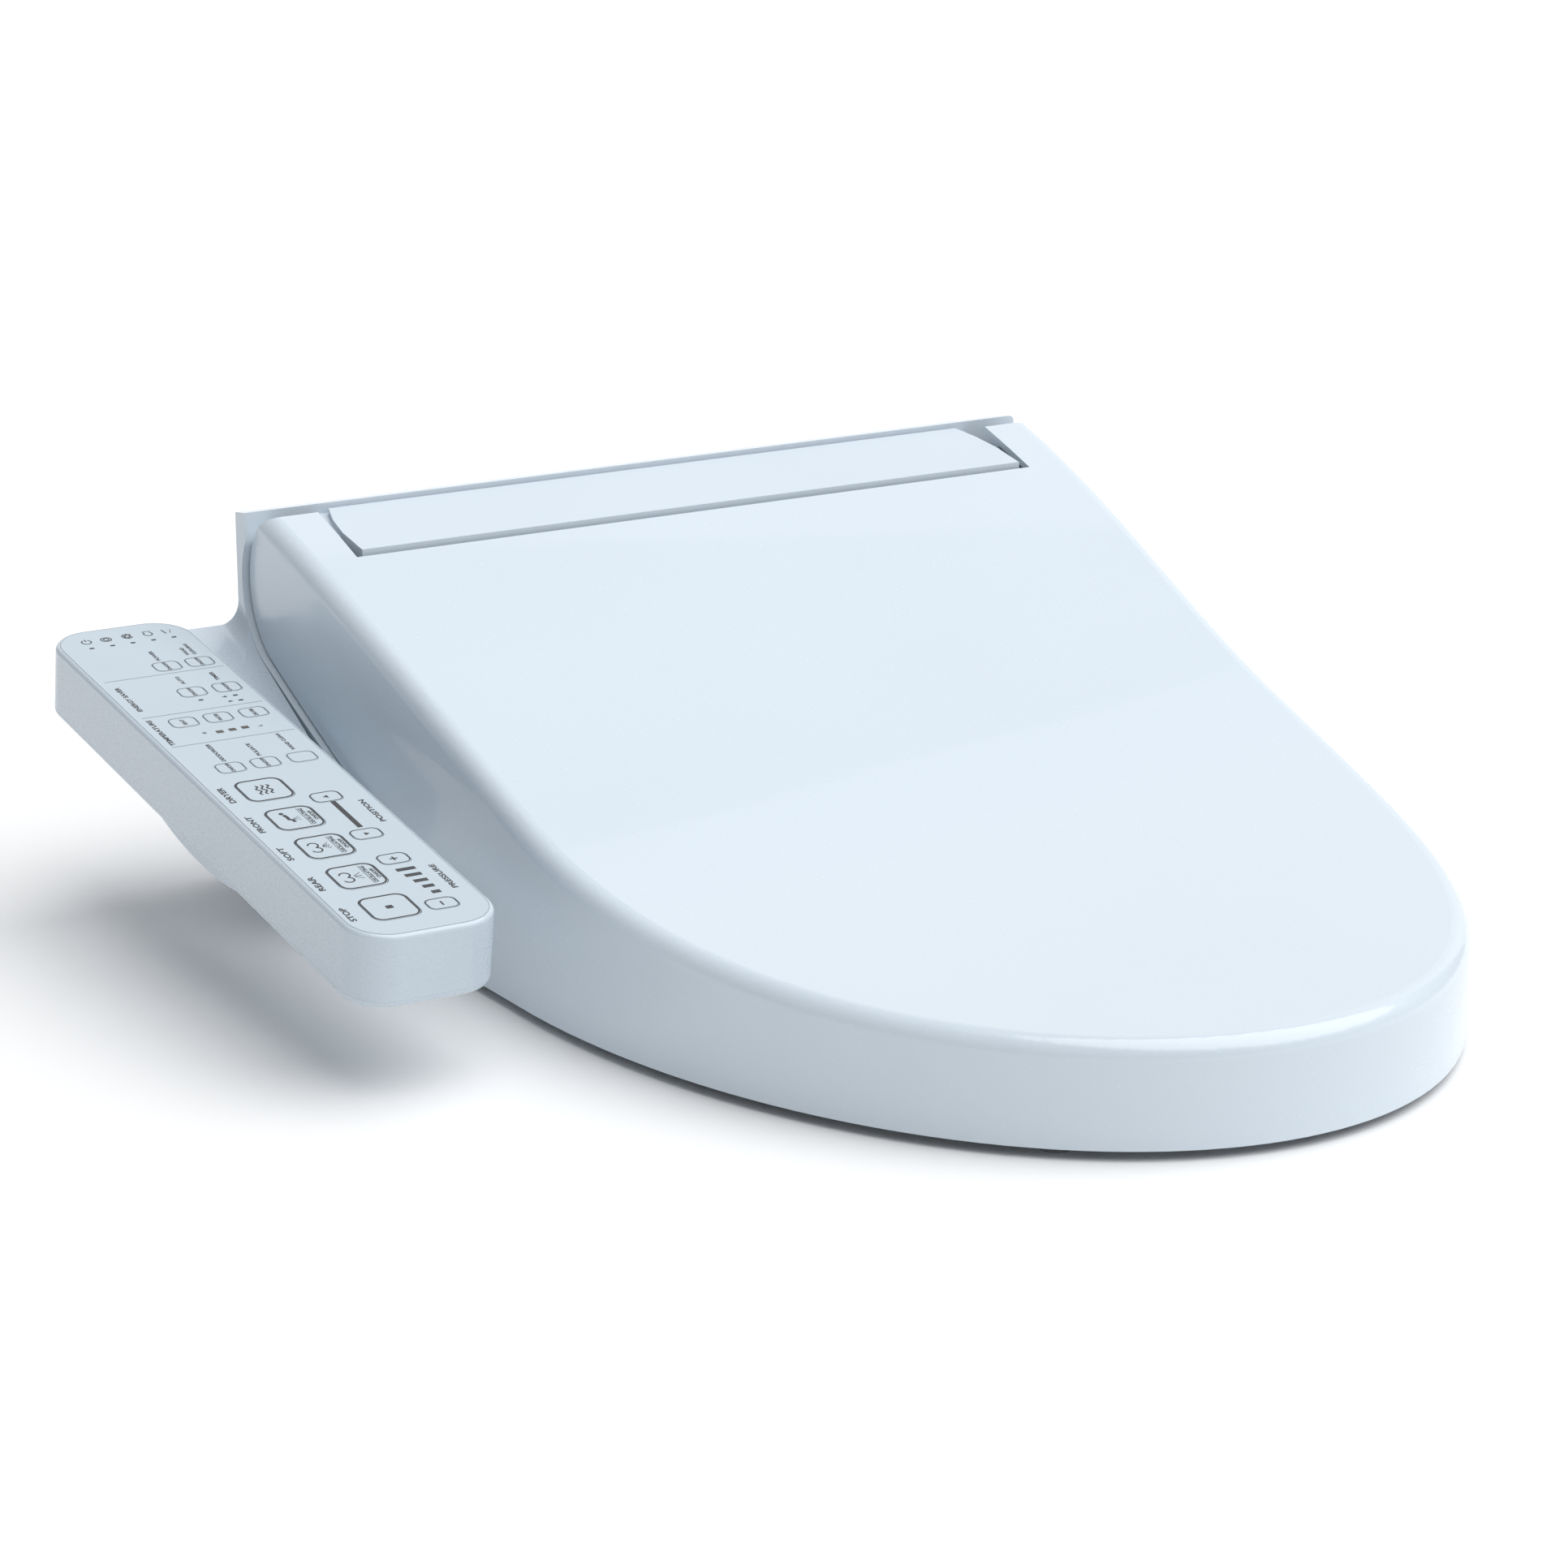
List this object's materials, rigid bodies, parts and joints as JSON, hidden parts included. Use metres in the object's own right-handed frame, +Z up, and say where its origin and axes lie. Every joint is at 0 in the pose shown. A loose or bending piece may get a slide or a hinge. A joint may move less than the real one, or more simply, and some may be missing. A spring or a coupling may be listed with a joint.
{
  "type": "electric bidet seat",
  "caption": "Heated bidet seat with soft-close lid, side control arm, spray wand, warm-air dryer and slide-on mounting plate.",
  "frame": {"origin": "midway between the two bowl bolts, in the plane of the bowl's rim that the unit stands on", "axes": "-Y points to the front of the bowl, +X to the right of someone who faces the bowl's front, +Z up"},
  "size_m": [0.49, 0.5293, 0.1646],
  "materials": {
    "lid_gloss_white": "polished injection moulding",
    "case_gloss_white": "polished injection moulding",
    "cover_satin_white": "satin top, ground front edge",
    "seat_gloss_white": "polished antibacterial resin",
    "arm_gloss_white": "polished injection moulding",
    "overlay_matte": "fine matte printed film",
    "key_matte": "fine matte film over a key cap",
    "grey_rubber": "soft moulded rubber",
    "steel": "turned",
    "grey_plastic": "as moulded",
    "black_plastic": "as moulded",
    "nickel_brass": "nickel plated",
    "tank_plastic": "glass-filled resin",
    "heater_steel": "annealed sheath",
    "mica_board": "mica laminate",
    "motor_steel": "zinc plated can",
    "heater_foil": "foil",
    "circuit_board": "solder mask",
    "potting_black": "potting compound",
    "led_lens": "clear lens",
    "wand_white": "polished"
  },
  "bodies": {
    "base": {"upper_case": "case_gloss_white", "lower_case": "case_gloss_white", "cover_plate": "cover_satin_white", "base_cushions": "grey_rubber", "case_screws": "steel", "hinge_pins": "steel", "hinge_dampers": "black_plastic", "water_inlet_fitting": "nickel_brass", "drain_strainer": "black_plastic", "inlet_valve": "black_plastic", "hot_water_tank": "tank_plastic", "tank_heater": "heater_steel", "nozzle_guide": "grey_plastic", "wand_motor": "motor_steel", "blower_housing": "grey_plastic", "dryer_duct": "grey_plastic", "dryer_heater": "mica_board", "deodorizer_housing": "grey_plastic", "main_circuit_board": "circuit_board", "power_module": "potting_black", "cord_gland": "grey_rubber", "arm_case_upper": "arm_gloss_white", "arm_case_lower": "arm_gloss_white", "panel_overlay": "overlay_matte", "panel_circuit_board": "circuit_board", "indicator_leds": "led_lens"},
    "plate": {"mounting_plate": "grey_plastic"},
    "seat": {"seat_top_shell": "seat_gloss_white", "seat_bottom_shell": "seat_gloss_white", "seat_heater": "heater_foil", "seat_bumpers": "grey_rubber"},
    "lid": {"lid_shell": "lid_gloss_white", "lid_bumpers": "grey_rubber"},
    "wand": {"spray_wand": "wand_white", "wand_tip": "wand_white"},
    "pinion": {"wand_pinion": "grey_plastic"},
    "gate": {"nozzle_gate": "case_gloss_white"},
    "blower": {"blower_rotor": "grey_plastic"},
    "deodorizer_fan": {"deodorizer_rotor": "grey_plastic"},
    "filter": {"filter_cartridge": "case_gloss_white"},
    "release": {"release_button": "case_gloss_white"},
    "power": {"power_key": "key_matte"},
    "nozzle_rinse": {"nozzle_rinse_key": "key_matte"},
    "saver_auto": {"saver_auto_key": "key_matte"},
    "saver_timer": {"saver_timer_key": "key_matte"},
    "seat_heat": {"seat_heat_key": "key_matte"},
    "water_heat": {"water_heat_key": "key_matte"},
    "dryer_heat": {"dryer_heat_key": "key_matte"},
    "deodorizer": {"deodorizer_key": "key_matte"},
    "pulsate": {"pulsate_key": "key_matte"},
    "wand_out": {"wand_out_key": "key_matte"},
    "dryer": {"dryer_key": "key_matte"},
    "front_wash": {"front_wash_key": "key_matte"},
    "soft_wash": {"soft_wash_key": "key_matte"},
    "rear_wash": {"rear_wash_key": "key_matte"},
    "stop": {"stop_key": "key_matte"},
    "wand_back": {"wand_back_key": "key_matte"},
    "wand_forward": {"wand_forward_key": "key_matte"},
    "pressure_up": {"pressure_up_key": "key_matte"},
    "pressure_down": {"pressure_down_key": "key_matte"}
  },
  "joints": [
    {"name": "seat_lift", "type": "hinge", "parent": "base", "child": "seat", "pos_m": [0, 0.02, 0.148], "axis": [-1, 0, 0], "range_deg": [0, 95]},
    {"name": "lid_lift", "type": "hinge", "parent": "seat", "child": "lid", "pos_m": [0, 0.02, 0.148], "axis": [1, 0, 0], "range_deg": [-100, 0]},
    {"name": "wand_slide", "type": "slide", "parent": "base", "child": "wand", "axis": [0, -0.9659, -0.2588], "range_m": [0, 0.09]},
    {"name": "pinion_turn", "type": "hinge", "parent": "base", "child": "pinion", "pos_m": [0, -0.02644, 0.06795], "axis": [-1, 0, 0], "range_deg": [0, 740]},
    {"name": "gate_swing", "type": "hinge", "parent": "base", "child": "gate", "pos_m": [0, -0.086, 0.05], "axis": [-1, 0, 0], "range_deg": [0, 60]},
    {"name": "blower_spin", "type": "hinge", "parent": "base", "child": "blower", "pos_m": [0.096, -0.022, 0.03], "axis": [0, 0, 1], "continuous": true},
    {"name": "deodorizer_spin", "type": "hinge", "parent": "base", "child": "deodorizer_fan", "pos_m": [0.147, -0.056, 0.029], "axis": [1, 0, 0], "continuous": true},
    {"name": "filter_slide", "type": "slide", "parent": "base", "child": "filter", "axis": [1, 0, 0], "range_m": [0, 0.04]},
    {"name": "release_press", "type": "slide", "parent": "base", "child": "release", "axis": [-1, 0, 0], "range_m": [0, 0.004], "stiffness_N_per_m": 600, "springref_m": -0.002},
    {"name": "plate_slide", "type": "slide", "parent": "base", "child": "plate", "axis": [0, 1, 0], "range_m": [0, 0.06]},
    {"name": "power_press", "type": "slide", "parent": "base", "child": "power", "axis": [0, 0.158, -0.9874], "range_m": [0, 0.0005], "stiffness_N_per_m": 800, "springref_m": -0.0005},
    {"name": "nozzle_rinse_press", "type": "slide", "parent": "base", "child": "nozzle_rinse", "axis": [0, 0.158, -0.9874], "range_m": [0, 0.0005], "stiffness_N_per_m": 800, "springref_m": -0.0005},
    {"name": "saver_auto_press", "type": "slide", "parent": "base", "child": "saver_auto", "axis": [0, 0.158, -0.9874], "range_m": [0, 0.0005], "stiffness_N_per_m": 800, "springref_m": -0.0005},
    {"name": "saver_timer_press", "type": "slide", "parent": "base", "child": "saver_timer", "axis": [0, 0.158, -0.9874], "range_m": [0, 0.0005], "stiffness_N_per_m": 800, "springref_m": -0.0005},
    {"name": "seat_heat_press", "type": "slide", "parent": "base", "child": "seat_heat", "axis": [0, 0.158, -0.9874], "range_m": [0, 0.0005], "stiffness_N_per_m": 800, "springref_m": -0.0005},
    {"name": "water_heat_press", "type": "slide", "parent": "base", "child": "water_heat", "axis": [0, 0.158, -0.9874], "range_m": [0, 0.0005], "stiffness_N_per_m": 800, "springref_m": -0.0005},
    {"name": "dryer_heat_press", "type": "slide", "parent": "base", "child": "dryer_heat", "axis": [0, 0.158, -0.9874], "range_m": [0, 0.0005], "stiffness_N_per_m": 800, "springref_m": -0.0005},
    {"name": "deodorizer_press", "type": "slide", "parent": "base", "child": "deodorizer", "axis": [0, 0.158, -0.9874], "range_m": [0, 0.0005], "stiffness_N_per_m": 800, "springref_m": -0.0005},
    {"name": "pulsate_press", "type": "slide", "parent": "base", "child": "pulsate", "axis": [0, 0.158, -0.9874], "range_m": [0, 0.0005], "stiffness_N_per_m": 800, "springref_m": -0.0005},
    {"name": "wand_out_press", "type": "slide", "parent": "base", "child": "wand_out", "axis": [0, 0.158, -0.9874], "range_m": [0, 0.0005], "stiffness_N_per_m": 800, "springref_m": -0.0005},
    {"name": "dryer_press", "type": "slide", "parent": "base", "child": "dryer", "axis": [0, 0.158, -0.9874], "range_m": [0, 0.0005], "stiffness_N_per_m": 800, "springref_m": -0.0005},
    {"name": "front_wash_press", "type": "slide", "parent": "base", "child": "front_wash", "axis": [0, 0.158, -0.9874], "range_m": [0, 0.0005], "stiffness_N_per_m": 800, "springref_m": -0.0005},
    {"name": "soft_wash_press", "type": "slide", "parent": "base", "child": "soft_wash", "axis": [0, 0.158, -0.9874], "range_m": [0, 0.0005], "stiffness_N_per_m": 800, "springref_m": -0.0005},
    {"name": "rear_wash_press", "type": "slide", "parent": "base", "child": "rear_wash", "axis": [0, 0.158, -0.9874], "range_m": [0, 0.0005], "stiffness_N_per_m": 800, "springref_m": -0.0005},
    {"name": "stop_press", "type": "slide", "parent": "base", "child": "stop", "axis": [0, 0.158, -0.9874], "range_m": [0, 0.0005], "stiffness_N_per_m": 800, "springref_m": -0.0005},
    {"name": "wand_back_press", "type": "slide", "parent": "base", "child": "wand_back", "axis": [0, 0.158, -0.9874], "range_m": [0, 0.0005], "stiffness_N_per_m": 800, "springref_m": -0.0005},
    {"name": "wand_forward_press", "type": "slide", "parent": "base", "child": "wand_forward", "axis": [0, 0.158, -0.9874], "range_m": [0, 0.0005], "stiffness_N_per_m": 800, "springref_m": -0.0005},
    {"name": "pressure_up_press", "type": "slide", "parent": "base", "child": "pressure_up", "axis": [0, 0.158, -0.9874], "range_m": [0, 0.0005], "stiffness_N_per_m": 800, "springref_m": -0.0005},
    {"name": "pressure_down_press", "type": "slide", "parent": "base", "child": "pressure_down", "axis": [0, 0.158, -0.9874], "range_m": [0, 0.0005], "stiffness_N_per_m": 800, "springref_m": -0.0005}
  ],
  "couplings": [
    {"joint": "pinion_turn", "follows": "wand_slide", "rad_per_m": 142.86}
  ]
}
